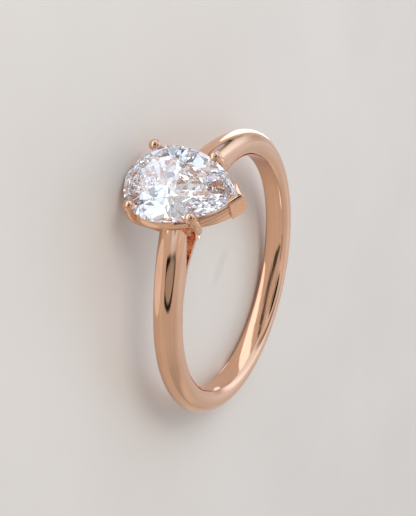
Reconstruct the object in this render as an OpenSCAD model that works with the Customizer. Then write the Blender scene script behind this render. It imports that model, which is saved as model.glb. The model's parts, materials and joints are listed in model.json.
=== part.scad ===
// Cathedral engagement ring: a plain domed band, two raised shoulders over a
// slim bridge, a pear-shaped rail with four beaded claws and a V claw, and a
// pear-shaped brilliant. Drawn standing with its head up, then laid on its side.

/* [Band] */
// Inside diameter of the finger hole
hole_d = 16.1; // [15.9:0.1:16.5]
// Width of the band along the finger
band_w = 1.82; // [1.7:0.02:2]
// Thickness of the band at its crest
band_t = 1.6; // [1.5:0.02:1.7]
// Half the width of the flat wall at the finger hole
wall_half = 0.59; // [0.57:0.01:0.61]

/* [Shoulders] */
// Radius of a shoulder's crest line
shoulder_r = 17.4; // [17:0.1:17.8]
// Thickness of the bridge under the stone
bridge_t = 0.7; // [0.65:0.01:0.75]

/* [Head] */
// Height of the girdle's middle above the centre of the finger hole
girdle_h = 11.12; // [11.1:0.01:11.3]
// Height of the rail
rail_h = 0.98; // [0.9:0.02:1.04]
// Distance from the rail's outer to its inner face
rail_t = 0.7; // [0.64:0.02:0.76]
// Radius of a claw's wire
claw_r = 0.33; // [0.31:0.01:0.35]
// Radius of a claw's bead
bead_r = 0.37; // [0.36:0.01:0.4]

/* [Stone] */
// Length of the stone from round end to tip
stone_l = 7.4; // [7.3:0.02:7.5]
// Width of the stone
stone_w = 5.36; // [5.3:0.02:5.44]
// Depth from the girdle's middle to the culet
pavilion_d = 2.2; // [2.1:0.02:2.24]
// Height from the girdle's middle to the table
crown_h = 0.8; // [0.72:0.02:0.84]
// Size of the table as a share of the girdle's outline
table = 0.56; // [0.52:0.01:0.6]
// Gap between the stone and the metal
seat_gap = 0.04; // [0.03:0.01:0.06]

/* [Hidden] */
$fn = 96;
hole_r = hole_d / 2;
dome_r = band_w / 2;
dome_c = hole_r + band_t - dome_r;
crest_r = hole_r + band_t;
bridge_r = hole_r + bridge_t;
bridge_half = dome_r + 0.16;
girdle_t = 0.16;
// Angle from the top where a shoulder leaves the band: sine 0.8, cosine 0.6
shoulder_at = acos(0.6);

// Plan of the stone: a round end and two side arcs that meet at the tip
half_w = stone_w / 2;
round_y = 0.96;
side_r = round(100 * ((stone_l - half_w) * (stone_l - half_w) + half_w * half_w) / stone_w) / 100;
side_x = side_r - half_w;
tip_l = sqrt(side_r * side_r - side_x * side_x);
tip_y = round_y - tip_l;
tip_a = atan2(tip_l, side_x);

// Rail
rail_out = half_w + 0.12;
rail_top = girdle_h - girdle_t / 2 - seat_gap - 0.03;
rail_mid = rail_top - rail_h / 2;
nose_r = 0.34;

// Bead centres of the claws by the round end and of those by the tip
bead_a = [2.2, 2.44, girdle_h + 0.46];
bead_b = [2.18, -1.63, girdle_h + 0.26];

// Angle at which the ring rests on the rail's round end and the band
rest_a = rail_mid - rail_h / 2 + nose_r + dome_c;
rest_b = round_y + rail_out - nose_r;
rest_c = nose_r - dome_r;
tilt = atan2(rest_b, rest_a) + asin(rest_c / sqrt(rest_a * rest_a + rest_b * rest_b));
lift = dome_c * sin(tilt) + dome_r;
back_y = -dome_c * cos(tilt) - dome_r;
front_y = bead_a[2] * cos(tilt) + bead_a[1] * sin(tilt) + bead_r;
shift = -(back_y + front_y) / 2;

module posed() {
    translate([0, shift, lift]) rotate([tilt - 90, 0, 0]) children();
}

// Turns a body drawn about the vertical so that it runs about the finger axis
module about_finger() {
    rotate([90, 0, 0]) children();
}

// Section of the band: domed outside, straight sides down past the hole's wall
module band_section(centre) {
    intersection() {
        translate([centre, 0]) circle(r = dome_r);
        translate([centre, -dome_r]) square([dome_r + 1, band_w]);
    }
    translate([centre - 1.3, -dome_r]) square([1.3, band_w]);
}

// The band below the shoulders: a full sweep less the wedge between them
module band() {
    about_finger() difference() {
        rotate_extrude($fn = 180) band_section(dome_c);
        translate([0, 0, -3]) linear_extrude(height = 6)
            polygon([[0, 0], [16, 12], [0, 30], [-16, 12]]);
    }
}

// One shoulder, swept about an axis beside the finger hole's axis
module shoulder() {
    about_finger() rotate([0, 0, 90 - shoulder_at]) translate([crest_r - shoulder_r, 0, 0])
        rotate_extrude(angle = 28, $fn = 180) band_section(shoulder_r - dome_r);
}

// Slim bridge that closes the finger hole under the stone, widest in the middle
module bridge() {
    intersection() {
        about_finger() translate([0, 0, -3]) linear_extrude(height = 6) intersection() {
            circle(r = bridge_r, $fn = 180);
            polygon([[0, 0], [8, 9], [-8, 9]]);
        }
        linear_extrude(height = 20) intersection() {
            translate([0, 40 - bridge_half]) circle(r = 40, $fn = 720);
            translate([0, bridge_half - 40]) circle(r = 40, $fn = 720);
            square([12, 4], center = true);
        }
    }
}

// Opening under the head, between the shoulders and above the bridge
module window() {
    about_finger() translate([0, 0, -3]) linear_extrude(height = 6) difference() {
        polygon([[-4.1, 7.6], [-2.28, 9.78], [-1.98, 10.3], [-1.98, 13],
                 [1.98, 13], [1.98, 10.3], [2.28, 9.78], [4.1, 7.6]]);
        circle(r = bridge_r, $fn = 180);
    }
}

// Finger hole with eased edges that open out past the band's faces
module bore() {
    edge = dome_r - wall_half;
    about_finger() rotate_extrude($fn = 180)
        polygon([
            [0, -dome_r - 1], [hole_r + edge + 1, -dome_r - 1], [hole_r, -wall_half],
            [hole_r, wall_half], [hole_r + edge + 1, dome_r + 1], [0, dome_r + 1]
        ]);
}

// What is taken off the inner corners so that the band is nearly round
module round_off() {
    inner = [for (a = [38, 26, 14]) [dome_c - dome_r * sin(a), dome_r * cos(a)]];
    out = inner[2] + [0.28, 0.07];
    about_finger() rotate_extrude($fn = 180) for (k = [0, 1]) mirror([0, k])
        polygon(concat([[hole_r - 1, wall_half], [hole_r, wall_half]], inner,
                       [out, [out[0], 3], [hole_r - 1, 3]]));
}

// Section of the rail, centred on its own height: outer corners rounded
module rail_section(r) {
    for (k = [-1, 1]) translate([r - nose_r, k * (rail_h / 2 - nose_r)]) circle(r = nose_r);
    translate([r - nose_r - 0.001, -rail_h / 2 + nose_r]) square([nose_r + 0.001, rail_h - 2 * nose_r]);
    translate([r - rail_t, -rail_h / 2]) square([rail_t - nose_r, rail_h]);
}

// Right-hand side arc of the rail, up to the plane that halves the ring
module rail_side() {
    intersection() {
        translate([-side_x, round_y, rail_mid]) mirror([0, 1, 0])
            rotate_extrude(angle = tip_a + 8, $fn = 180) rail_section(side_r + rail_out - half_w);
        translate([0, tip_y - 2, rail_mid - 2]) cube([10, 10, 4]);
    }
}

module rail() {
    translate([0, round_y, rail_mid]) rotate_extrude(angle = 180, $fn = 180) rail_section(rail_out);
    rail_side();
    mirror([1, 0, 0]) rail_side();
}

// Round bar from a to b
module rod(a, b, ra, rb) {
    d = b - a;
    translate(a) rotate([0, acos(d[2] / norm(d)), atan2(d[1], d[0])])
        cylinder(h = norm(d), r1 = ra, r2 = rb, $fn = 48);
}

// A claw: foot on the bridge, elbow beside the rail, bead over the crown
module claw(foot, elbow, bead) {
    rod(foot, elbow, claw_r * 0.85, claw_r);
    translate(elbow) sphere(r = claw_r + 0.01, $fn = 48);
    rod(elbow, bead, claw_r, claw_r);
    translate(bead) sphere(r = bead_r, $fn = 48);
}

module claws() {
    claw([1.8, 0.96, bridge_r - 0.25], [2.36, 2.5, rail_mid], bead_a);
    claw([1.8, -0.98, bridge_r - 0.25], [2.24, -1.76, rail_mid], bead_b);
}

// V claw round the tip: pointed arms above a rounded heel
module v_claw() {
    top = girdle_h + 0.28;
    heel = rail_mid + 0.12;
    difference() {
        intersection() {
            translate([0, 0, rail_mid - 0.78]) linear_extrude(height = top - rail_mid + 0.78)
                polygon([[0, tip_y - 0.48], [1.3, tip_y + 0.6], [1.1, tip_y + 0.9],
                         [-1.1, tip_y + 0.9], [-1.3, tip_y + 0.6]]);
            union() {
                translate([0, tip_y + 0.944, heel]) sphere(r = 1.44);
                translate([-3, tip_y - 2, heel]) cube([6, 5, 4]);
            }
        }
        // open above the stone, between the two arms
        translate([0, 0, girdle_h - 0.3]) linear_extrude(height = 2)
            polygon([[0, tip_y + 0.2], [3, tip_y + 1.82], [-3, tip_y + 1.82]]);
        for (s = [-1, 1]) {
            // slanted end
            translate([s * 0.66, tip_y, top]) rotate([0, s * -24, 0])
                translate([s > 0 ? 0 : -3, -3, -0.85]) cube([3, 6, 2]);
            // bevel along the top of the outer face
            v_cut(s, 0, top - 0.16, -45);
        }
    }
}

// Plane cut along one outer face of the V claw: inset from the face, height, slope
module v_cut(s, inset, z, slope) {
    translate([0, tip_y - 0.48, z]) rotate([0, 0, s * 39.8]) translate([0, inset, 0])
        rotate([slope, 0, 0]) translate([-3, -2, -3]) cube([6, 2, 6]);
}

// Room for the stone: profile of its edge, swept round the plan with the gap added
module clear_profile(r) {
    e = r + seat_gap;
    g = girdle_t / 2 + seat_gap;
    polygon([[0, 1.9], [e - 1.3, 1.9], [e - 1.1, g + 1.0], [e, g], [e, -g],
             [e - 1.5, -g - 1.9], [0, -g - 1.9]]);
}

module clear_round() {
    translate([0, round_y, girdle_h]) rotate_extrude(angle = 180, $fn = 180) clear_profile(half_w);
}

module clear_side() {
    translate([-side_x, round_y, girdle_h]) mirror([0, 1, 0])
        rotate_extrude(angle = 90, $fn = 180) clear_profile(side_r);
}

module clear_tip() {
    intersection() {
        clear_side();
        mirror([1, 0, 0]) clear_side();
    }
}

module ring_mount() color([0.80, 0.58, 0.48]) posed() {
    difference() {
        union() {
            difference() {
                union() {
                    band();
                    shoulder();
                    mirror([1, 0, 0]) shoulder();
                }
                window();
                round_off();
            }
            bridge();
            rail();
            claws();
            mirror([1, 0, 0]) claws();
            v_claw();
        }
        bore();
        clear_round();
        clear_tip();
    }
}

// Plan outline at a place u: 0 at the round end, 8 at the tip, 16 round again
function outline(u) = let (
    v = u <= 8 ? u : 16 - u,
    side = u <= 8 ? 1 : -1,
    t = lookup(v, [[4, 0], [5, 1.35], [6, 2.6], [7, 3.75], [8, tip_l]]))
    v < 4 ? [side * half_w * sin(22.5 * v), round_y + half_w * cos(22.5 * v)]
    : [side * (sqrt(side_r * side_r - t * t) - side_x), round_y - t];
// Direction of the outline at a place from 0 to 8
function along(v) = let (t = lookup(v, [[4, 0], [5, 1.35], [6, 2.6], [7, 3.75], [8, tip_l]]))
    v == 8 ? [1, 0, 0]
    : v < 4 ? [cos(22.5 * v), -sin(22.5 * v), 0]
    : [-t / side_r, -sqrt(side_r * side_r - t * t) / side_r, 0];
function fold(i) = (i % 16 + 16) % 16;
function girdle_pt(i, z) = [outline(fold(i))[0], outline(fold(i))[1], z];
function girdle_dir(i) = fold(i) <= 8 ? along(fold(i))
    : [-along(16 - fold(i))[0], along(16 - fold(i))[1], 0];

hub = [0, 0.9, 0];
culet = [hub[0], hub[1], -pavilion_d];
up_z = girdle_t / 2;
star_z = up_z + (crown_h - up_z) * 0.52;
low_z = -up_z - (pavilion_d - up_z) * 0.76;
function table_pt(i) = [hub[0] + table * (girdle_pt(i, 0)[0] - hub[0]),
                        hub[1] + table * (girdle_pt(i, 0)[1] - hub[1]), crown_h];
function unit(v) = v / norm(v);
// Outward normal of the plane through three points, seen from inside the stone
function outward(a, b, c) = let (n = unit(cross(b - a, c - a)))
    n * (a - hub) > 0 ? n : -n;
function bezel_n(i) = outward(girdle_pt(i, up_z), table_pt(i), girdle_pt(i, up_z) + girdle_dir(i));
function main_n(i) = outward(girdle_pt(i, -up_z), culet, girdle_pt(i, -up_z) + girdle_dir(i));
// Point at height z where two planes meet
function meet(n1, p1, n2, p2, z) = let (
    k1 = n1 * p1 - n1[2] * z, k2 = n2 * p2 - n2[2] * z,
    det = n1[0] * n2[1] - n1[1] * n2[0])
    [(k1 * n2[1] - n1[1] * k2) / det, (n1[0] * k2 - k1 * n2[0]) / det, z];
function star_pt(i) = meet(bezel_n(i), girdle_pt(i, up_z), bezel_n(i + 2), girdle_pt(i + 2, up_z), star_z);
function low_pt(i) = meet(main_n(i), culet, main_n(i + 2), culet, low_z);
function star_n(i) = outward(table_pt(i), table_pt(i + 2), star_pt(i));
function upper_n(i, k) = outward(star_pt(i), girdle_pt(k, up_z), girdle_pt(i + 1, up_z));
function lower_n(i, k) = outward(low_pt(i), girdle_pt(k, -up_z), girdle_pt(i + 1, -up_z));

// Girdle: places per facet, and a point of its upper or lower edge on the half facet there
steps = 5;
rim_n = 16 * steps;
function on_plane(n, p, q) = [q[0], q[1], p[2] - (n[0] * (q[0] - p[0]) + n[1] * (q[1] - p[1])) / n[2]];
function rim(j, up) = let (
    k = floor(j / steps),
    i = k - k % 2,
    o = k % 2 == 0 ? i : i + 2,
    q = outline(j / steps))
    up ? on_plane(upper_n(i, o), star_pt(i), q) : on_plane(lower_n(i, o), low_pt(i), q);

// Numbers of the points: table, star, low, culet, then the girdle's two edges
function at_table(k) = k % 8;
function at_star(k) = 8 + k % 8;
function at_low(k) = 16 + k % 8;
function at_up(j) = 25 + j % rim_n;
function at_down(j) = 25 + rim_n + j % rim_n;

module pear_stone() color([0.92, 0.94, 0.97]) posed() translate([0, 0, girdle_h]) {
    polyhedron(
        points = concat(
            [for (i = [0 : 2 : 14]) table_pt(i)],
            [for (i = [0 : 2 : 14]) star_pt(i)],
            [for (i = [0 : 2 : 14]) low_pt(i)],
            [culet],
            [for (j = [0 : rim_n - 1]) rim(j, true)],
            [for (j = [0 : rim_n - 1]) rim(j, false)]),
        faces = concat(
            // the table, eight stars, eight bezels and sixteen upper halves
            [[for (k = [0 : 7]) at_table(k)]],
            [for (k = [0 : 7]) [at_table(k), at_star(k), at_table(k + 1)]],
            [for (k = [0 : 7]) [at_table(k), at_star(k + 7), at_up(2 * k * steps), at_star(k)]],
            [for (k = [0 : 15]) concat([at_star(floor(k / 2))],
                [for (j = [k * steps : (k + 1) * steps]) at_up(j)])],
            // the girdle
            [for (j = [0 : rim_n - 1]) [at_up(j), at_down(j), at_down(j + 1), at_up(j + 1)]],
            // sixteen lower halves and eight mains down to the culet
            [for (k = [0 : 15]) concat([at_low(floor(k / 2))],
                [for (j = [(k + 1) * steps : -1 : k * steps]) at_down(j)])],
            [for (k = [0 : 7]) [24, at_low(k), at_down(2 * k * steps), at_low(k + 7)]]));
}

ring_mount();
pear_stone();
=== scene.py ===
"""Cathedral engagement ring in polished rose gold with a pear-shaped stone.

The ring is drawn standing, in millimetres, with its head up and the finger hole's
axis level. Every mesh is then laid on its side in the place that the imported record
gives.
"""
import json
import logging
from dataclasses import dataclass
from enum import Enum
from math import asin, atan2, copysign, cos, degrees, hypot, pi, radians, sin, sqrt
from typing import Any

import bmesh
import bpy
from mathutils import Matrix, Vector


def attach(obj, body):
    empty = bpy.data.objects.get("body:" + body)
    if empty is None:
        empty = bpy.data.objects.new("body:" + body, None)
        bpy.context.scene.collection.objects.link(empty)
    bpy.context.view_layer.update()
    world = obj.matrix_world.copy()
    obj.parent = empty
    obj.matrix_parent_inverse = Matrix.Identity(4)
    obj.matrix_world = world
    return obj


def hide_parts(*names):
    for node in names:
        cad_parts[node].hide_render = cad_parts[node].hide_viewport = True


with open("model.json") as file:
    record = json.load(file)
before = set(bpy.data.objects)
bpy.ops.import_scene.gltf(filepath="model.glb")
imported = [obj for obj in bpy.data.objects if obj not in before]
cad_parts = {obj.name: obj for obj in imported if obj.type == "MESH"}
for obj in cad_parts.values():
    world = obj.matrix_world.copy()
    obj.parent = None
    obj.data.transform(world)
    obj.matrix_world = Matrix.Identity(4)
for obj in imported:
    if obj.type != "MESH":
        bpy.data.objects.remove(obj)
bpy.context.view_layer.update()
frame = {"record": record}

LOG = logging.getLogger("ring")
MM = 0.001
# Distance, in standing millimetres, within which points are made one
MERGE = 1e-4
# Distance within which a point counts as lying on a cutting plane
ON_PLANE = 1e-5
# Upright drawing plane: its own x and y run along the ring's x and its height
UPRIGHT = Matrix(((1, 0, 0, 0), (0, 0, -1, 0), (0, 1, 0, 0), (0, 0, 0, 1)))

Colour = tuple[float, float, float]
Place = tuple[float, float, float]
Spot = tuple[float, float]


@dataclass(frozen=True)
class Lay:
    """How the standing ring lies on the floor."""

    origin: Vector
    turn: Matrix

    @classmethod
    def from_record(cls, record: dict[str, Any]) -> "Lay":
        """Read the finger hole's centre and axis.

        Args:
            record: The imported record.

        Returns:
            The place and turn of the standing ring.
        """
        hole = record["mounts"][0]
        lean, rise = -hole["axis"][1], hole["axis"][2]
        turn = Matrix(((1, 0, 0), (0, lean, rise), (0, -rise, lean)))
        return cls(Vector(hole["pos_m"]), turn)

    @property
    def matrix(self) -> Matrix:
        """Placement that takes standing millimetres to metres on the floor."""
        return Matrix.Translation(self.origin) @ self.turn.to_4x4() @ Matrix.Scale(MM, 4)

    def heading(self, azimuth: float, elevation: float) -> Vector:
        """Turn a standing direction, in degrees, into one above the floor.

        Args:
            azimuth: Angle from the front, towards +x.
            elevation: Angle above the finger hole's axis.

        Returns:
            A unit vector in the scene's frame.
        """
        a, e = radians(azimuth), radians(elevation)
        return self.turn @ Vector((sin(a) * cos(e), -cos(a) * cos(e), sin(e)))


class Nodes:
    """Short-hand for building one node tree."""

    def __init__(self, tree: bpy.types.NodeTree) -> None:
        """Start on an emptied tree."""
        self.tree = tree
        tree.nodes.clear()

    def add(self, kind: str, links: dict[Any, Any] | None = None, **values: Any) -> Any:
        """Add a node, set its properties and connect or fill its inputs.

        Args:
            kind: Node type without the ShaderNode prefix.
            links: Input name or number to a socket or a constant.
            values: Properties of the node.

        Returns:
            The new node.
        """
        node = self.tree.nodes.new("ShaderNode" + kind)
        for name, value in values.items():
            setattr(node, name, value)
        for name, value in (links or {}).items():
            if isinstance(value, bpy.types.NodeSocket):
                self.tree.links.new(value, node.inputs[name])
            else:
                node.inputs[name].default_value = value
        return node

    def math(self, operation: str, a: Any, b: Any = 0.0) -> Any:
        """Add a Math node and return its result socket."""
        return self.add("Math", {0: a, 1: b}, operation=operation).outputs[0]

    def dot(self, way: Any, axis: Vector) -> Any:
        """Add a dot product of a direction with a fixed axis and return its socket."""
        links = {0: way, 1: tuple(axis)}
        return self.add("VectorMath", links, operation="DOT_PRODUCT").outputs["Value"]

    def noise(self, place: Any, scale: float, detail: float) -> Any:
        """Add a noise texture and return its value socket."""
        return self.add("TexNoise", {"Vector": place, "Scale": scale, "Detail": detail}).outputs[0]

    def mix(self, share: Any, below: Any, above: Any, blend: str = "MIX") -> Any:
        """Add a colour mix.

        Args:
            share: Socket with the share of the upper colour.
            below: Lower colour, a socket or a constant.
            above: Upper colour, a socket or a constant.
            blend: How the upper colour acts on the lower one.

        Returns:
            The mixed colour's socket.
        """
        links = {0: share, 6: below, 7: above}
        return self.add("Mix", links, data_type="RGBA", blend_type=blend).outputs[2]

    def ramp(self, factor: Any, stops: list[tuple[float, Colour]]) -> Any:
        """Add a colour ramp.

        Args:
            factor: Socket that drives the ramp.
            stops: Place and colour of each of the two stops.

        Returns:
            The ramp's colour socket.
        """
        node = self.add("ValToRGB", {0: factor})
        for element, (place, colour) in zip(node.color_ramp.elements, stops):
            element.position, element.color = place, (*colour, 1.0)
        return node.outputs[0]

    def finish(self, **links: Any) -> None:
        """Add the Principled shader and the output.

        Args:
            links: Shader input, with its spaces as underscores, to a socket or a constant.
        """
        named = {name.replace("_", " "): value for name, value in links.items()}
        self.add("OutputMaterial", {0: self.add("BsdfPrincipled", named).outputs[0]})


def new_material(name: str) -> tuple[bpy.types.Material, Nodes, Any]:
    """Start a material.

    Args:
        name: The material's name.

    Returns:
        The material, its nodes and a socket with the object coordinates.
    """
    material = bpy.data.materials.new(name)
    material.use_nodes = True
    nodes = Nodes(material.node_tree)
    return material, nodes, nodes.add("TexCoord").outputs["Object"]


@dataclass(frozen=True)
class RoseGold:
    """Polished rose gold with faint polishing lines and a little unevenness."""

    base: Colour = (0.88, 0.53, 0.35)
    worn: Colour = (0.76, 0.45, 0.29)
    worn_until: float = 0.32
    base_from: float = 0.68
    cloud_scale: float = 420.0
    cloud_share: float = 0.35
    fine_scale: float = 2600.0
    fine_range: tuple[float, float] = (0.3, 0.75)
    roughness: tuple[float, float] = (0.035, 0.075)
    line_scale: float = 7000.0
    line_stretch: float = 0.0001
    line_strength: float = 0.12
    line_depth: float = 0.00001

    def build(self, lay: Lay) -> bpy.types.Material:
        """Make the material from noise on object coordinates.

        Args:
            lay: How the ring lies; the polishing lines run round its finger hole.

        Returns:
            The material.
        """
        material, n, place = new_material("polished_rose_gold")
        cloud = n.noise(place, self.cloud_scale, 3.0)
        fine = n.noise(place, self.fine_scale, 4.0)
        rough = n.add("MapRange", {
            "Value": fine, "From Min": self.fine_range[0], "From Max": self.fine_range[1],
            "To Min": self.roughness[0], "To Max": self.roughness[1]}).outputs[0]
        lines = n.noise(self.round_finger(n, place, lay), self.line_scale, 3.0)
        bump = n.add("Bump", {"Height": lines, "Strength": self.line_strength,
                              "Distance": self.line_depth}).outputs[0]
        share = n.math("ADD", n.math("MULTIPLY", lines, 1 - self.cloud_share),
                       n.math("MULTIPLY", cloud, self.cloud_share))
        tone = n.ramp(share, [(self.worn_until, self.worn), (self.base_from, self.base)])
        n.finish(Base_Color=tone, Metallic=1.0, Roughness=rough, Normal=bump)
        return material

    def round_finger(self, n: Nodes, place: Any, lay: Lay) -> Any:
        """Bend the coordinates so that a pattern is drawn out round the finger hole.

        Args:
            n: The material's nodes.
            place: Socket with the object coordinates.
            lay: How the ring lies.

        Returns:
            Socket with distance from the axis, place along it and a small angle.
        """
        away = n.add("VectorMath", {0: place, 1: tuple(lay.origin)},
                     operation="SUBTRACT").outputs[0]
        x, y, z = (n.dot(away, lay.turn @ axis) for axis in Matrix.Identity(3))
        reach = n.math("SQRT", n.math("ADD", n.math("MULTIPLY", x, x), n.math("MULTIPLY", z, z)))
        around = n.math("MULTIPLY", n.math("ARCTAN2", x, z), self.line_stretch)
        return n.add("CombineXYZ", {0: reach, 1: y, 2: around}).outputs[0]


@dataclass(frozen=True)
class ClearStone:
    """Clear, brilliant stone with a breath of cool and warm."""

    ior: float = 2.417
    cool: Colour = (0.965, 0.975, 1.0)
    warm: Colour = (1.0, 0.985, 0.975)
    cool_until: float = 0.35
    warm_from: float = 0.7
    cloud_scale: float = 700.0

    def build(self) -> bpy.types.Material:
        """Make the material.

        Returns:
            The material.
        """
        material, n, place = new_material("clear_stone")
        cloud = n.noise(place, self.cloud_scale, 2.0)
        tone = n.ramp(cloud, [(self.cool_until, self.cool), (self.warm_from, self.warm)])
        n.finish(Base_Color=tone, Roughness=0.0, IOR=self.ior, Transmission_Weight=1.0)
        return material


@dataclass(frozen=True)
class PaleFloor:
    """Plain pale floor, faintly mottled."""

    name: str = "pale_floor"
    low: Colour = (0.83, 0.75, 0.665)
    high: Colour = (0.88, 0.80, 0.715)
    low_until: float = 0.3
    high_from: float = 0.7
    cloud_scale: float = 60.0
    roughness: float = 0.55

    def build(self) -> bpy.types.Material:
        """Make the material.

        Returns:
            The material.
        """
        material, n, place = new_material(self.name)
        cloud = n.noise(place, self.cloud_scale, 4.0)
        tone = n.ramp(cloud, [(self.low_until, self.low), (self.high_from, self.high)])
        n.finish(Base_Color=tone, Roughness=self.roughness)
        return material


@dataclass(frozen=True)
class BlackCard(PaleFloor):
    """Matt black card."""

    name: str = "black_card"
    low: Colour = (0.01, 0.01, 0.01)
    high: Colour = (0.015, 0.015, 0.015)


class Tint(Enum):
    """Colour of a light."""

    WARM = (1.0, 0.97, 0.94)
    COOL = (0.85, 1.0, 1.2)
    CLEAR = (0.85, 1.06, 1.45)


def soft_light(name: str, place: Matrix, size: tuple[float, float], radiance: float,
               tint: Tint) -> bpy.types.Object:
    """Make an elliptic area light that the camera itself doesn't see.

    Args:
        name: The light's name.
        place: Its placement; it shines along its own -z.
        size: Width and height in metres.
        radiance: Brightness of its face.
        tint: Its colour.

    Returns:
        The light's object.
    """
    data = bpy.data.lights.new(name, "AREA")
    data.shape = "ELLIPSE"
    data.size, data.size_y = size
    data.energy = radiance * pi * (pi / 4) * size[0] * size[1]
    data.color = tint.value
    lamp = bpy.data.objects.new(name, data)
    lamp.matrix_world = place
    lamp.visible_camera = False
    bpy.context.scene.collection.objects.link(lamp)
    return lamp


@dataclass(frozen=True)
class Softbox:
    """A soft light that faces the ring from afar; sizes are in metres."""

    name: str
    azimuth: float
    elevation: float
    distance: float
    width: float
    height: float
    radiance: float
    tint: Tint = Tint.WARM

    def build(self, lay: Lay) -> bpy.types.Object:
        """Place the light on its heading, facing the finger hole's centre.

        Args:
            lay: How the ring lies.

        Returns:
            The light's object.
        """
        heading = lay.heading(self.azimuth, self.elevation)
        turn = heading.to_track_quat("Z", "Y").to_matrix().to_4x4()
        place = Matrix.Translation(lay.origin + heading * self.distance) @ turn
        return soft_light(self.name, place, (self.width, self.height), self.radiance, self.tint)


@dataclass(frozen=True)
class LowLight:
    """A soft light low on the floor that the polished gold mirrors, in millimetres."""

    name: str
    x: float
    y: float
    width: float
    length: float
    turn: float
    radiance: float
    tint: Tint = Tint.COOL
    height: float = 0.05

    def build(self) -> bpy.types.Object:
        """Lay the light on the floor, facing up.

        Returns:
            The light's object.
        """
        place = (Matrix.Translation(Vector((self.x, self.y, self.height)) * MM)
                 @ Matrix.Rotation(radians(self.turn), 4, "Z") @ Matrix.Rotation(pi, 4, "X"))
        size = (self.width * MM, self.length * MM)
        return soft_light(self.name, place, size, self.radiance, self.tint)


@dataclass(frozen=True)
class Tone:
    """A soft-edged oval of another brightness in the surroundings; angles in degrees."""

    azimuth: float
    elevation: float
    half_width: float
    half_height: float
    roll: float
    value: float
    soft: float = 0.25
    tint: Tint = Tint.WARM

    def paint(self, n: Nodes, way: Any, below: Any, lay: Lay) -> Any:
        """Lay the oval over what is painted so far.

        Args:
            n: The surroundings' node tree.
            way: Socket with the direction.
            below: Colour socket painted so far.
            lay: How the ring lies.

        Returns:
            The new colour socket.
        """
        centre = lay.heading(self.azimuth, self.elevation)
        east = (lay.heading(self.azimuth + 1, self.elevation) - centre).normalized()
        north = centre.cross(east)
        if north.dot(lay.heading(self.azimuth, self.elevation + 1) - centre) < 0:
            north = -north
        a = radians(self.roll)
        across = (cos(a) * east + sin(a) * north) / sin(radians(self.half_width))
        along = (cos(a) * north - sin(a) * east) / sin(radians(self.half_height))
        parts = [n.dot(way, axis) for axis in (across, along, centre)]
        square = [n.math("MULTIPLY", part, part) for part in parts[:2]]
        far = n.math("SQRT", n.math("ADD", *square))
        oval = n.add("MapRange", {
            "Value": far, "From Min": 1 - self.soft, "From Max": 1 + self.soft,
            "To Min": 1.0, "To Max": 0.0}, interpolation_type="SMOOTHSTEP").outputs[0]
        share = n.math("MULTIPLY", oval, n.math("GREATER_THAN", parts[2], 0.0))
        return n.mix(share, below, (*(self.value * part for part in self.tint.value), 1.0))


# The ovals, each laid over those before it: azimuth, elevation, half width,
# half height, roll, value, softness and tint
TONES = (
    Tone(-84, -54, 44, 28, 35, 0.48, 0.45),
    # a long dark frame with a paler core, for the near shoulder
    Tone(-66, 28, 42, 12.5, -19, 0.01, 0.10),
    Tone(-60, 26.5, 29, 8.7, -19, 0.42, 0.20),
    Tone(45, -9, 33, 38, -35, 1.16, 0.70, Tint.COOL),
    Tone(46, -26, 19, 8.7, -7, 1.5, 0.8, Tint.COOL),
    Tone(22, -6, 7, 21, -23, 0.17, 0.6),
    Tone(4, 11, 24, 20, 0, 0.82, 0.4),
    Tone(2, 12, 12, 11, 20, 0.01, 0.25),
    Tone(92, -15, 24, 3.8, -3, 0.02, 0.7),
    Tone(95, -16, 16, 6, 20, 0.50, 0.27),
    Tone(102, -29, 12, 8, 0, 1.6, 0.3, Tint.COOL),
    Tone(78, -36, 15, 7, 20, 0.6, 0.6),
    Tone(98, 44, 32, 25, -35, 1.8, 0.7, Tint.CLEAR),
    Tone(60, 62, 22, 12, 0, 0.10, 0.3, Tint.COOL),
    Tone(-120, 70, 26, 12, 0, 0.10, 0.3, Tint.COOL),
    Tone(0, 86, 13, 13, 0, 1.5, 0.3),
    # a dark spot in a bright ring, for the beads
    Tone(-22.5, 59, 30, 30, 0, 0.95, 0.2, Tint.COOL),
    Tone(-22.5, 59, 21, 21, 0, 0.005, 0.12),
    Tone(-36, -57, 13, 13, 0, 0.75, 0.6),
    # a dark frame with a pale core, for the far shoulder
    Tone(79, -4, 12, 8.5, 20, 0.22, 0.3),
    Tone(79, -4, 8.5, 5.5, 20, 0.70, 0.3, Tint.CLEAR),
)
# Light from above: name, azimuth, elevation, distance, width, height and radiance
KEY_LIGHT = Softbox("light_key", 32, 50, 0.25, 0.15, 0.15, 3.4)
# Lights on the floor: name, x, y, width, length, turn and radiance
LOW_LIGHTS = (
    LowLight("bounce_right", 20, -1, 20, 12, -15, 1.2),
    LowLight("bounce_hole", 1.2, -6.5, 3.8, 1.7, 0, 1.0),
    LowLight("bounce_low", -3.9, -8.3, 1.4, 0.9, 0, 0.7),
    LowLight("bounce_left", -7.2, 8.5, 6.6, 6.6, 0, 0.3),
    LowLight("bounce_head", 1, 18, 20, 9, 0, 1.45),
)


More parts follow.
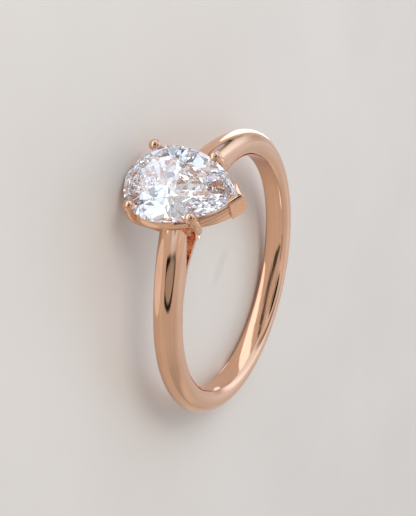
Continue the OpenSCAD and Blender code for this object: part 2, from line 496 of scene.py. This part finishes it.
@dataclass
class Studio:
    """Floor, light and camera round the ring."""

    lay: Lay
    floor_radius: float = 0.7
    grey_low: Colour = (0.62, 0.60, 0.585)
    grey_high: Colour = (0.64, 0.615, 0.60)
    backdrop: Colour = (0.62, 0.60, 0.58)
    stone_gain: Colour = (1.10, 1.14, 1.18)
    flag_place: Place = (1.5, -3.7, 0.06)
    flag_half: Spot = (1.6, 0.45)
    camera_azimuth: float = -43.872
    camera_elevation: float = 56.875
    camera_roll: float = -29.601
    camera_place: Place = (-1.317, 0.927, 88.062)
    focal_px: float = 1309.119
    frame_px: float = 516.0
    sensor: float = 36.0
    bounces: int = 32

    def disc(self, name: str, segments: int, radius: float, place: Matrix,
             material: bpy.types.Material) -> bpy.types.Object:
        """Lay a flat disc that is no part of the ring.

        Args:
            name: The disc's name.
            segments: Number of its corners.
            radius: Its radius before it is placed.
            place: Its placement and stretch.
            material: Its finish.

        Returns:
            The disc's object.
        """
        mesh = bpy.data.meshes.new(name)
        bm = bmesh.new()
        bmesh.ops.create_circle(bm, cap_ends=True, segments=segments, radius=radius, matrix=place)
        bm.to_mesh(mesh)
        bm.free()
        mesh.materials.append(material)
        disc = bpy.data.objects.new(name, mesh)
        bpy.context.scene.collection.objects.link(disc)
        return disc

    def floor(self) -> bpy.types.Object:
        """Build the floor."""
        return self.disc("floor", 96, self.floor_radius, Matrix.Identity(4), PaleFloor().build())

    def flag(self) -> bpy.types.Object:
        """Lay a small black card under the ring that only its mirror image shows.

        Returns:
            The card's object.
        """
        width, length = self.flag_half
        place = (Matrix.Translation(Vector(self.flag_place) * MM)
                 @ Matrix.Diagonal((width * MM, length * MM, 1, 1)))
        flag = self.disc("flag", 32, 1.0, place, BlackCard().build())
        flag.visible_camera = flag.visible_diffuse = False
        flag.visible_shadow = flag.visible_transmission = False
        return flag

    def sky(self) -> bpy.types.World:
        """Build the soft surroundings: an even grey with dim and bright ovals.

        Returns:
            The world.
        """
        world = bpy.data.worlds.new("studio")
        bpy.context.scene.world = world
        world.use_nodes = True
        n = Nodes(world.node_tree)
        way = n.add("TexCoord").outputs["Generated"]
        colour = n.ramp(n.dot(way, self.lay.heading(0, 90)),
                        [(0.0, self.grey_low), (1.0, self.grey_high)])
        for tone in TONES:
            colour = tone.paint(n, way, colour, self.lay)
        ray = n.add("LightPath").outputs
        # the stone sees a brighter room than the gold, and the camera a plain backdrop
        through = n.mix(ray["Is Transmission Ray"], colour, (*self.stone_gain, 1.0), "MULTIPLY")
        final = n.mix(ray["Is Camera Ray"], through, (*self.backdrop, 1.0))
        n.add("OutputWorld", {0: n.add("Background", {"Color": final}).outputs[0]})
        return world

    def lights(self) -> list[bpy.types.Object]:
        """Build the soft lights.

        Returns:
            The lights' objects.
        """
        key = KEY_LIGHT.build(self.lay)
        # the gold and the stone mirror the ovals of the sky instead
        key.visible_glossy = key.visible_transmission = False
        return [key] + [low.build() for low in LOW_LIGHTS]

    def camera(self) -> bpy.types.Object:
        """Build the camera at the photograph's angle.

        Returns:
            The camera's object.
        """
        a, roll = radians(self.camera_azimuth), radians(self.camera_roll)
        back = self.lay.heading(self.camera_azimuth, self.camera_elevation)
        right = self.lay.turn @ Vector((cos(a), sin(a), 0))
        up = back.cross(right)
        across = cos(roll) * right + sin(roll) * up
        upright = -sin(roll) * right + cos(roll) * up
        x, y, z = self.camera_place
        place = self.lay.origin + (x * across + y * upright + z * back) * MM
        data = bpy.data.cameras.new("camera")
        data.sensor_width = self.sensor
        data.lens = self.focal_px * self.sensor / self.frame_px
        data.clip_start = MM
        camera = bpy.data.objects.new("camera", data)
        turn = Matrix((across, upright, back)).transposed().to_4x4()
        camera.matrix_world = Matrix.Translation(place) @ turn
        bpy.context.scene.collection.objects.link(camera)
        bpy.context.scene.camera = camera
        return camera

    def build(self) -> None:
        """Set up everything round the ring."""
        scene = bpy.context.scene
        scene.view_settings.view_transform = "Standard"
        # light bounces many times inside a cut stone
        scene.cycles.max_bounces = self.bounces
        scene.cycles.glossy_bounces = self.bounces
        scene.cycles.transmission_bounces = self.bounces
        self.camera()
        self.floor()
        self.flag()
        self.sky()
        self.lights()


class Operation(Enum):
    """What happens to a shape where a second one meets it."""

    CUT = "DIFFERENCE"
    KEEP = "INTERSECT"


def carve(body: bmesh.types.BMesh, tool: bmesh.types.BMesh, operation: Operation) -> None:
    """Cut a closed shape with another one, or keep their overlap.

    Args:
        body: The shape that changes.
        tool: The shape that it meets; it is used up.
        operation: What happens to the body.
    """
    holders = []
    for name, shape in (("body", body), ("tool", tool)):
        bmesh.ops.recalc_face_normals(shape, faces=shape.faces[:])
        mesh = bpy.data.meshes.new(name)
        shape.to_mesh(mesh)
        holder = bpy.data.objects.new(name, mesh)
        bpy.context.scene.collection.objects.link(holder)
        holders.append(holder)
    cut = holders[0].modifiers.new("cut", "BOOLEAN")
    cut.operation, cut.solver, cut.object = operation.value, "EXACT", holders[1]
    view = bpy.context.evaluated_depsgraph_get()
    result = bpy.data.meshes.new_from_object(holders[0].evaluated_get(view))
    body.clear()
    body.from_mesh(result)
    tool.free()
    for holder in holders:
        mesh = holder.data
        bpy.data.objects.remove(holder)
        bpy.data.meshes.remove(mesh)
    bpy.data.meshes.remove(result)


class Pen:
    """Draws a closed outline from straight runs and arcs in one plane."""

    def __init__(self, bm: bmesh.types.BMesh, plane: Matrix, a: float, b: float) -> None:
        """Put the pen down.

        Args:
            bm: The shape that takes the outline.
            plane: Placement of the drawing plane; a and b run along its x and y.
            a: First place along the plane's x.
            b: First place along the plane's y.
        """
        self.bm, self.plane = bm, plane
        self.tip = bm.verts.new(plane @ Vector((a, b, 0)))

    def line(self, a: float, b: float) -> "Pen":
        """Draw straight to a place.

        Args:
            a: The place along the plane's x.
            b: The place along the plane's y.

        Returns:
            The pen itself.
        """
        self.tip = bmesh.ops.extrude_vert_indiv(self.bm, verts=[self.tip])["verts"][0]
        self.tip.co = self.plane @ Vector((a, b, 0))
        return self

    def arc(self, a: float, b: float, turn: float, steps: int) -> "Pen":
        """Draw an arc.

        Args:
            a: The centre's place along the plane's x.
            b: The centre's place along the plane's y.
            turn: Angle in degrees, anticlockwise.
            steps: Number of edges.

        Returns:
            The pen itself.
        """
        made = bmesh.ops.spin(
            self.bm, geom=[self.tip], cent=self.plane @ Vector((a, b, 0)),
            axis=self.plane.to_3x3() @ Vector((0, 0, 1)), angle=radians(turn), steps=steps)
        self.tip = next(g for g in made["geom_last"] if isinstance(g, bmesh.types.BMVert))
        return self

    def close(self) -> None:
        """Join the outline's two ends."""
        bmesh.ops.remove_doubles(self.bm, verts=self.bm.verts[:], dist=MERGE)
        ends = [v for v in self.bm.verts if len(v.link_edges) == 1]
        if len(ends) == 2:
            self.bm.edges.new(ends)


def prism(bm: bmesh.types.BMesh, along: Vector) -> None:
    """Fill a flat outline and draw it out into a solid.

    Args:
        bm: The shape that holds the outline.
        along: How far the outline is drawn out.
    """
    bmesh.ops.contextual_create(bm, geom=bm.edges[:])
    made = bmesh.ops.extrude_face_region(bm, geom=bm.faces[:])
    top = [g for g in made["geom"] if isinstance(g, bmesh.types.BMVert)]
    bmesh.ops.translate(bm, verts=top, vec=along)
    bmesh.ops.recalc_face_normals(bm, faces=bm.faces[:])


def whole(bm: bmesh.types.BMesh) -> list[Any]:
    """List every point, edge and face of a shape."""
    return bm.verts[:] + bm.edges[:] + bm.faces[:]


def round_edges(bm: bmesh.types.BMesh, edges: list[bmesh.types.BMEdge], radius: float,
                segments: int) -> None:
    """Round some edges of a shape.

    Args:
        bm: The shape.
        edges: Its edges to be rounded.
        radius: How far the rounding reaches from an edge.
        segments: Number of faces across a rounding.
    """
    bmesh.ops.bevel(bm, geom=edges, offset=radius, offset_type="OFFSET", segments=segments,
                    profile=0.5, affect="EDGES", clamp_overlap=True, material=-1)


@dataclass(frozen=True)
class PearPlan:
    """Plan of the stone: a round end and two side arcs that meet at the tip."""

    half_w: float = 2.68
    round_y: float = 0.96
    side_r: float = 5.50
    girdle_h: float = 11.12
    half_girdle: float = 0.08
    gap: float = 0.04
    round_steps: int = 36
    side_steps: int = 48
    overrun: float = 8.0
    room_in: float = 1.5
    room_down: float = 1.9
    room_up: float = 1.0
    room_slope: float = 1.1

    @property
    def side_x(self) -> float:
        """Distance of a side arc's centre from the middle."""
        return self.side_r - self.half_w

    @property
    def tip_l(self) -> float:
        """Distance of the tip from the round end's centre."""
        return sqrt(self.side_r ** 2 - self.side_x ** 2)

    @property
    def tip_y(self) -> float:
        """Place of the tip."""
        return self.round_y - self.tip_l

    def sweep(self, bm: bmesh.types.BMesh) -> None:
        """Sweep a section, drawn at the widest place, round the whole plan.

        Args:
            bm: The shape that holds the section, in the plane y = round_y.
        """
        section = whole(bm)
        up = (0, 0, 1)
        bmesh.ops.spin(bm, geom=section, cent=(0, self.round_y, 0), axis=up, angle=pi / 2,
                       steps=self.round_steps)
        # each side arc runs a little past the middle and is trimmed there
        reach = atan2(self.tip_l, self.side_x) + radians(self.overrun)
        bmesh.ops.spin(bm, geom=section, cent=(-self.side_x, self.round_y, 0), axis=up,
                       angle=-reach, steps=self.side_steps)
        bmesh.ops.bisect_plane(bm, geom=whole(bm), dist=ON_PLANE, plane_co=(0, 0, 0),
                               plane_no=(1, 0, 0), clear_inner=True)
        bmesh.ops.mirror(bm, geom=whole(bm), matrix=Matrix.Identity(4), merge_dist=MERGE, axis="X")
        bmesh.ops.remove_doubles(bm, verts=bm.verts[:], dist=MERGE)
        bmesh.ops.recalc_face_normals(bm, faces=bm.faces[:])

    def room(self) -> bmesh.types.BMesh:
        """Build the room that the metal leaves for the stone's edge.

        Returns:
            A closed shape all round the girdle.
        """
        bm = bmesh.new()
        edge, rise = self.half_w + self.gap, self.half_girdle + self.gap
        plane = Matrix.Translation((0, self.round_y, self.girdle_h)) @ UPRIGHT
        pen = Pen(bm, plane, edge - self.room_in, -rise - self.room_down)
        pen.line(edge, -rise).line(edge, rise)
        pen.line(edge - self.room_slope, rise + self.room_up)
        pen.line(edge - self.room_in, rise + self.room_up).close()
        self.sweep(bm)
        return bm


@dataclass
class GoldWork:
    """Shared making of the rose gold pieces."""

    lay: Lay
    finish: bpy.types.Material

    def piece(self, bm: bmesh.types.BMesh, name: str, crisp: float = 40.0) -> bpy.types.Object:
        """Turn a standing shape into a finished piece that lies with the ring.

        Args:
            bm: The shape in millimetres; it is used up.
            name: The piece's name.
            crisp: Angle in degrees above which an edge stays crisp.

        Returns:
            The finished piece.
        """
        bmesh.ops.remove_doubles(bm, verts=bm.verts[:], dist=2 * MERGE)
        bmesh.ops.dissolve_degenerate(bm, dist=MERGE, edges=bm.edges[:])
        bmesh.ops.recalc_face_normals(bm, faces=bm.faces[:])
        bmesh.ops.transform(bm, matrix=self.lay.matrix, verts=bm.verts[:])
        mesh = bpy.data.meshes.new(name)
        bm.to_mesh(mesh)
        bm.free()
        mesh.shade_smooth()
        mesh.set_sharp_from_angle(angle=radians(crisp))
        mesh.materials.append(self.finish)
        piece = bpy.data.objects.new(name, mesh)
        bpy.context.scene.collection.objects.link(piece)
        piece.modifiers.new("even_shading", "WEIGHTED_NORMAL").keep_sharp = True
        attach(piece, "root")
        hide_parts("ring_mount")
        LOG.info("%s: %d faces", name, len(mesh.polygons))
        return piece


@dataclass
class Shank(GoldWork):
    """Band, shoulders and bridge in one sweep round the finger."""

    hole_r: float = 8.05
    dome_r: float = 0.91
    dome_c: float = 8.74
    wall_ease: float = 0.05
    shoulder_r: float = 17.4
    shoulder_from: float = 53.13010235
    shoulder_centre: float = 7.75
    bridge_half: float = 1.07
    bridge_top: float = 8.75
    bridge_bow: float = 40.0
    flare_end: float = 8.95
    flare_run: float = 0.18
    fork_left: float = 3.9102
    fork_right: float = 3.66
    knee: Spot = (2.28, 9.78)
    neck: Spot = (1.98, 10.3)
    window_top: float = 13.0
    window_half: float = 3.0
    section_steps: int = 88
    wall_cuts: int = 8
    window_steps: int = 56
    steps: int = 288

    def reach(self, turn: float, radius: float) -> float:
        """Distance from the finger axis to a circle about the shoulder's centre.

        Args:
            turn: Angle from the top, in radians.
            radius: The circle's radius.

        Returns:
            The distance along the ray at that angle.
        """
        start = radians(self.shoulder_from)
        along = -self.shoulder_centre * cos(start - turn)
        return along + sqrt(along ** 2 - self.shoulder_centre ** 2 + radius ** 2)

    def raise_shoulder(self, vert: bmesh.types.BMVert) -> None:
        """Move one point of the plain band out to the shoulder and widen the bridge.

        Args:
            vert: The point.
        """
        x, y, z = vert.co
        turn, r = abs(atan2(x, z)), hypot(x, z)
        if turn >= radians(self.shoulder_from):
            return
        if r > self.dome_c - ON_PLANE:
            # the half circle is spread over the shoulder's flanks and dome
            share = 1 - abs(atan2(y, r - self.dome_c)) / (pi / 2)
            crest = self.reach(turn, self.shoulder_r)
            middle = self.reach(turn, self.shoulder_r - self.dome_r)
            flank, dome = middle - self.dome_c, (crest - middle + self.dome_r) * pi / 4
            run = share * (flank + dome)
            side = 1 if y > 0 else -1
            if run <= flank:
                r, y = self.dome_c + run, side * self.dome_r
            else:
                a = (run - flank) / dome * pi / 2
                r = middle + (crest - middle) * sin(a)
                y = side * self.dome_r * cos(a)
        across = r * sin(turn)
        wide = self.bridge_half - self.bridge_bow + sqrt(self.bridge_bow ** 2 - across ** 2)
        blend = min(max((self.flare_end - r) / self.flare_run, 0.0), 1.0)
        y *= 1 + (max(wide / self.dome_r, 1.0) - 1) * blend
        vert.co = (copysign(r * sin(turn), x), y, r * cos(turn))

    def fork(self, across: float) -> Spot:
        """Place on the bridge's top, at a distance from the middle, where a fork ends."""
        return across, sqrt(self.bridge_top ** 2 - across ** 2)

    def window(self) -> bmesh.types.BMesh:
        """Build the opening under the head, down to where the shoulders leave the bridge.

        Returns:
            A closed prism across the ring.
        """
        bm = bmesh.new()
        (knee_x, knee_z), (neck_x, neck_z) = self.knee, self.neck
        plane = Matrix.Translation((0, self.window_half, 0)) @ UPRIGHT
        left, foot = self.fork(self.fork_left)
        pen = Pen(bm, plane, -left, foot)
        pen.line(-knee_x, knee_z).line(-neck_x, neck_z).line(-neck_x, self.window_top)
        pen.line(neck_x, self.window_top).line(neck_x, neck_z).line(knee_x, knee_z)
        # the right-hand fork ends a little nearer the head, behind the claw
        pen.line(*self.fork(self.fork_right))
        turn = asin(self.fork_left / self.bridge_top) + asin(self.fork_right / self.bridge_top)
        pen.arc(0, 0, degrees(turn), self.window_steps).close()
        prism(bm, Vector((0, -2 * self.window_half, 0)))
        return bm

    def build(self) -> bpy.types.Object:
        """Build the piece.

        Returns:
            The finished piece.
        """
        bm = bmesh.new()
        bmesh.ops.create_circle(bm, segments=self.section_steps, radius=self.dome_r,
                                matrix=Matrix.Translation((self.dome_c, 0, 0)))
        bmesh.ops.bisect_plane(bm, geom=whole(bm), dist=ON_PLANE, plane_co=(self.hole_r, 0, 0),
                               plane_no=(1, 0, 0), clear_inner=True)
        corners = [v for v in bm.verts if len(v.link_edges) == 1]
        bm.edges.new(corners)
        bmesh.ops.bevel(bm, geom=corners, offset=self.wall_ease, offset_type="OFFSET", segments=3,
                        profile=0.5, affect="VERTICES", material=-1)
        wall = [e for e in bm.edges if e.calc_length() > self.dome_r / 2]
        bmesh.ops.subdivide_edges(bm, edges=wall, cuts=self.wall_cuts)
        bmesh.ops.spin(bm, geom=whole(bm), cent=(0, 0, 0), axis=(0, 1, 0), angle=2 * pi,
                       steps=self.steps, use_merge=True)
        bmesh.ops.remove_doubles(bm, verts=bm.verts[:], dist=MERGE)
        for vert in bm.verts:
            self.raise_shoulder(vert)
        carve(bm, self.window(), Operation.CUT)
        return self.piece(bm, "shank", 50.0)


@dataclass
class Rail(GoldWork):
    """Pear-shaped rail under the stone's edge, with two wedges under it."""

    plan: PearPlan
    outer: float = 2.80
    thick: float = 0.70
    bottom: float = 9.99
    nose_r: float = 0.49
    nose_turn: float = 141.6
    nose_steps: int = 24
    seat_top: Spot = (2.59, 0.845)
    seat_foot: Spot = (2.36, 0.553)
    inner_top: float = 0.25
    inner_ease: float = 0.02
    inner_wall: float = 0.22
    ease: float = 0.05
    wing_in: float = 2.30
    wing_out: float = 2.71
    wing_low: float = -0.50
    wing_high: float = 0.24
    wing_from: float = -1.9
    wing_run: float = 1.3
    wing_drop: float = -0.34
    wing_ease: float = 0.04
    wing_crisp: float = 50.0

    def plane(self) -> Matrix:
        """Place the plane of the section at the stone's widest place."""
        return Matrix.Translation((0, self.plan.round_y, self.bottom)) @ UPRIGHT

    def build(self) -> bpy.types.Object:
        """Build the rail.

        Returns:
            The finished piece.
        """
        bm = bmesh.new()
        inner, centre = self.outer - self.thick, self.outer - self.nose_r
        pen = Pen(bm, self.plane(), inner, self.ease)
        pen.arc(inner + self.ease, self.ease, 90, 3).line(centre, 0)
        # the round face ends at the slope that the stone rests in
        pen.arc(centre, self.nose_r, self.nose_turn, self.nose_steps)
        pen.line(*self.seat_top).line(*self.seat_foot)
        pen.line(inner + self.inner_ease, self.inner_top).line(inner, self.inner_wall).close()
        self.plan.sweep(bm)
        return self.piece(bm, "rail")

    def build_wings(self) -> bpy.types.Object:
        """Build the two wedges that run from the V claw's heel under the rail.

        Returns:
            The finished piece.
        """
        bm = bmesh.new()
        pen = Pen(bm, self.plane(), self.wing_in, self.wing_low)
        pen.line(self.wing_out, self.wing_low).line(self.wing_out, self.wing_high)
        pen.line(self.wing_in, self.wing_high).close()
        self.plan.sweep(bm)
        slope = Vector((0, self.wing_drop, self.wing_run)).normalized()
        bmesh.ops.bisect_plane(bm, geom=whole(bm), dist=ON_PLANE,
                               plane_co=(0, self.wing_from, self.bottom), plane_no=-slope,
                               clear_outer=True)
        bmesh.ops.holes_fill(bm, edges=[e for e in bm.edges if e.is_boundary], sides=0)
        crisp = [e for e in bm.edges
                 if e.is_manifold and e.calc_face_angle(0) > radians(self.wing_crisp)]
        round_edges(bm, crisp, self.wing_ease, 3)
        return self.piece(bm, "rail_wings")


@dataclass(frozen=True)
class ClawPath:
    """Middle line of a right-hand claw."""

    name: str
    foot: Place
    elbow: Place
    bead: Place


@dataclass
class Claws(GoldWork):
    """Four wire claws with round beads over the stone's crown."""

    plan: PearPlan
    paths: tuple[ClawPath, ...] = (
        ClawPath("round", (1.8, 0.96, 8.5), (2.36, 2.5, 10.48), (2.2, 2.44, 11.58)),
        ClawPath("tip", (1.8, -0.98, 8.5), (2.24, -1.76, 10.48), (2.18, -1.63, 11.38)),
    )
    wire: float = 0.35
    foot: float = 0.31
    bead: float = 0.38
    bend: float = 0.5
    bend_steps: int = 8
    taper_share: float = 0.95
    neck_share: float = 0.92
    neck_rise: float = 0.12
    neck_close: float = 0.03
    bead_steps: int = 14
    bead_end: float = 0.06
    sides: int = 32

    def stations(self, foot: Vector, elbow: Vector, bead: Vector) -> list[tuple[Any, ...]]:
        """List the rings that a claw is swept through.

        Args:
            foot: Middle of the foot on the bridge.
            elbow: Middle of the bend beside the rail.
            bead: Middle of the bead.

        Returns:
            Centre, direction and radius of each ring.
        """
        low, high = (elbow - foot).normalized(), (bead - elbow).normalized()
        start, end = elbow - low * self.bend, elbow + high * self.bend
        rings = [(foot, low, self.foot),
                 (foot.lerp(start, 0.5), low, (self.foot + self.wire) / 2)]
        for i in range(self.bend_steps + 1):
            t = i / self.bend_steps
            place = start * (1 - t) ** 2 + elbow * 2 * t * (1 - t) + end * t * t
            rings.append((place, low.lerp(high, t).normalized(), self.wire))
        narrow = self.wire * self.neck_share
        neck = sqrt(self.bead ** 2 - narrow ** 2)
        # a short taper, then the neck under the bead
        rings.append((bead - high * (neck + self.neck_rise), high, self.wire * self.taper_share))
        rings.append((bead - high * (neck + self.neck_close), high, narrow))
        first = -asin(neck / self.bead)
        last = pi / 2 - self.bead_end
        for i in range(self.bead_steps + 1):
            a = first + (last - first) * i / self.bead_steps
            rings.append((bead + high * self.bead * sin(a), high, self.bead * cos(a)))
        return rings

    def claw(self, foot: Vector, elbow: Vector, bead: Vector) -> bmesh.types.BMesh:
        """Sweep one claw from its foot past the rail to its bead.

        Args:
            foot: Middle of the foot on the bridge.
            elbow: Middle of the bend beside the rail.
            bead: Middle of the bead.

        Returns:
            A closed shape.
        """
        bm = bmesh.new()
        before: list[bmesh.types.BMEdge] = []
        for place, way, radius in self.stations(foot, elbow, bead):
            turn = way.to_track_quat("Z", "Y").to_matrix().to_4x4()
            made = bmesh.ops.create_circle(bm, segments=self.sides, radius=radius,
                                           matrix=Matrix.Translation(place) @ turn)["verts"]
            ring = list({e for v in made for e in v.link_edges})
            if before:
                bmesh.ops.bridge_loops(bm, edges=before + ring)
            before = ring
        bmesh.ops.holes_fill(bm, edges=[e for e in bm.edges if len(e.link_faces) == 1], sides=0)
        bmesh.ops.recalc_face_normals(bm, faces=bm.faces[:])
        return bm

    def build(self) -> list[bpy.types.Object]:
        """Build the four claws.

        Returns:
            The finished pieces.
        """
        pieces = []
        for path in self.paths:
            for side, label in ((1, "right"), (-1, "left")):
                flip = Matrix.Diagonal((side, 1, 1))
                bm = self.claw(*(flip @ Vector(p) for p in (path.foot, path.elbow, path.bead)))
                carve(bm, self.plan.room(), Operation.CUT)
                pieces.append(self.piece(bm, f"claw_{path.name}_{label}", 45.0))
        return pieces


@dataclass
class TipClaw(GoldWork):
    """V claw round the tip: two arms above a rounded heel."""

    plan: PearPlan
    rail_mid: float = 10.48
    rise: float = 0.28
    foot_drop: float = 0.70
    heel_rise: float = 0.12
    point: float = 0.48
    side: Spot = (1.3, 0.6)
    back: Spot = (1.1, 0.9)
    arm_turn: float = 39.8
    opening_from: float = 0.03
    opening_reach: Spot = (3.0, 1.65)
    opening_drop: float = 0.3
    opening_height: float = 2.0
    end_at: Spot = (0.77, 0.16)
    end_tilt: float = 8.0
    end_size: Place = (3, 6, 6)
    slope_drop: float = 0.11
    slope_tilt: float = 76.0
    slope_size: Place = (6, 2, 6)
    heel_r: float = 1.44
    heel_at: float = 0.944
    heel_height: float = 3.0
    flat_under: float = 2.0
    crisp_from: float = 28.0
    outer_lean: float = 1.2
    outer_from: float = 0.44
    outer_round: float = 0.15
    outer_reach: float = 0.35
    edge_round: float = 0.05
    last_round: float = 0.035

    @property
    def top(self) -> float:
        """Height of the arms' top."""
        return self.plan.girdle_h + self.rise

    def ease(self, bm: bmesh.types.BMesh, radius: float, low: float | None = None) -> None:
        """Round the crisp edges of the shape.

        Args:
            bm: The shape.
            radius: How far the rounding reaches from an edge.
            low: Height above which only the outer top edges are rounded, or None for all.
        """
        bmesh.ops.remove_doubles(bm, verts=bm.verts[:], dist=10 * MERGE)
        bmesh.ops.dissolve_limit(bm, angle_limit=radians(self.flat_under), verts=bm.verts[:],
                                 edges=bm.edges[:], use_dissolve_boundaries=False)
        crisp = [e for e in bm.edges
                 if e.is_manifold and e.calc_face_angle(0) > radians(self.crisp_from)]
        if low is not None:
            tip = self.plan.tip_y
            crisp = [e for e in crisp if all(
                v.co.z > low and abs(v.co.x) * self.outer_lean - v.co.y + tip > self.outer_from
                for v in e.verts)]
        round_edges(bm, crisp, radius, 4)

    def wedge(self) -> bmesh.types.BMesh:
        """Build the pointed body that the arms are cut from.

        Returns:
            A closed prism.
        """
        tip, foot = self.plan.tip_y, self.rail_mid - self.foot_drop
        (side_x, side_y), (back_x, back_y) = self.side, self.back
        bm = bmesh.new()
        pen = Pen(bm, Matrix.Translation((0, 0, foot)), 0, tip - self.point)
        pen.line(side_x, tip + side_y).line(back_x, tip + back_y)
        pen.line(-back_x, tip + back_y).line(-side_x, tip + side_y).close()
        prism(bm, Vector((0, 0, self.top - foot)))
        return bm

    def opening(self) -> bmesh.types.BMesh:
        """Build the space between the arms, above the stone.

        Returns:
            A closed prism.
        """
        tip, (x, y) = self.plan.tip_y, self.opening_reach
        bm = bmesh.new()
        floor = Matrix.Translation((0, 0, self.plan.girdle_h - self.opening_drop))
        pen = Pen(bm, floor, 0, tip + self.opening_from)
        pen.line(x, tip + y).line(-x, tip + y).close()
        prism(bm, Vector((0, 0, self.opening_height)))
        return bm

    def block(self, pivot: Place, turn: float, tilt: Matrix, away: Place,
              size: Place) -> bmesh.types.BMesh:
        """Build a cutting block on one arm.

        Args:
            pivot: Place that the block turns about.
            turn: Turn of the arm about the upright, in degrees.
            tilt: Further turn of the block.
            away: Way from the pivot to the block's middle, as the turned block has it.
            size: Its width, depth and height.

        Returns:
            A closed block.
        """
        place = (Matrix.Translation(pivot) @ Matrix.Rotation(radians(turn), 4, "Z") @ tilt
                 @ Matrix.Translation(away) @ Matrix.Diagonal((*size, 1)))
        bm = bmesh.new()
        bmesh.ops.create_cube(bm, size=1.0, matrix=place)
        return bm

    def heel(self) -> bmesh.types.BMesh:
        """Build the tall capsule whose lower half rounds the heel.

        Returns:
            A closed shape.
        """
        bm = bmesh.new()
        bmesh.ops.create_uvsphere(bm, u_segments=48, v_segments=32, radius=self.heel_r)
        upper = [v for v in bm.verts if v.co.z > MERGE]
        bmesh.ops.translate(bm, verts=upper, vec=(0, 0, self.heel_height))
        middle = (0, self.plan.tip_y + self.heel_at, self.rail_mid + self.heel_rise)
        bmesh.ops.translate(bm, verts=bm.verts[:], vec=middle)
        return bm

    def build(self) -> bpy.types.Object:
        """Build the piece.

        Returns:
            The finished piece.
        """
        tip, top = self.plan.tip_y, self.top
        bm = self.wedge()
        carve(bm, self.opening(), Operation.CUT)
        for side in (1, -1):
            turn = self.arm_turn * side
            tilt = Matrix.Rotation(radians(-self.end_tilt * side), 4, "Y")
            end = self.block((side * self.end_at[0], tip + self.end_at[1], top), turn, tilt,
                             (side * self.end_size[0] / 2, 0, 0), self.end_size)
            carve(bm, end, Operation.CUT)
            tilt = Matrix.Rotation(radians(-self.slope_tilt), 4, "X")
            slope = self.block((0, tip - self.point, top - self.slope_drop), turn, tilt,
                               (0, -self.slope_size[1] / 2, 0), self.slope_size)
            carve(bm, slope, Operation.CUT)
        self.ease(bm, self.outer_round, top - self.outer_reach)
        self.ease(bm, self.edge_round)
        carve(bm, self.heel(), Operation.KEEP)
        carve(bm, self.plan.room(), Operation.CUT)
        self.ease(bm, self.last_round)
        return self.piece(bm, "tip_claw")


def dress_node(name: str, material: bpy.types.Material) -> None:
    """Give a carried-over solid its finish.

    Args:
        name: The solid's name.
        material: The finish.
    """
    for slot in bpy.data.objects[name].material_slots:
        slot.material = material
    LOG.info("dressed %s", name)


def main() -> None:
    """Build the studio and the ring's pieces in order."""
    logging.basicConfig(level=logging.INFO)
    lay = Lay.from_record(frame["record"])
    Studio(lay).build()
    gold, plan = RoseGold().build(lay), PearPlan()
    Shank(lay, gold).build()
    rail = Rail(lay, gold, plan)
    rail.build()
    rail.build_wings()
    Claws(lay, gold, plan).build()
    TipClaw(lay, gold, plan).build()
    dress_node("pear_stone", ClearStone().build())


if __name__ == "__main__":
    main()
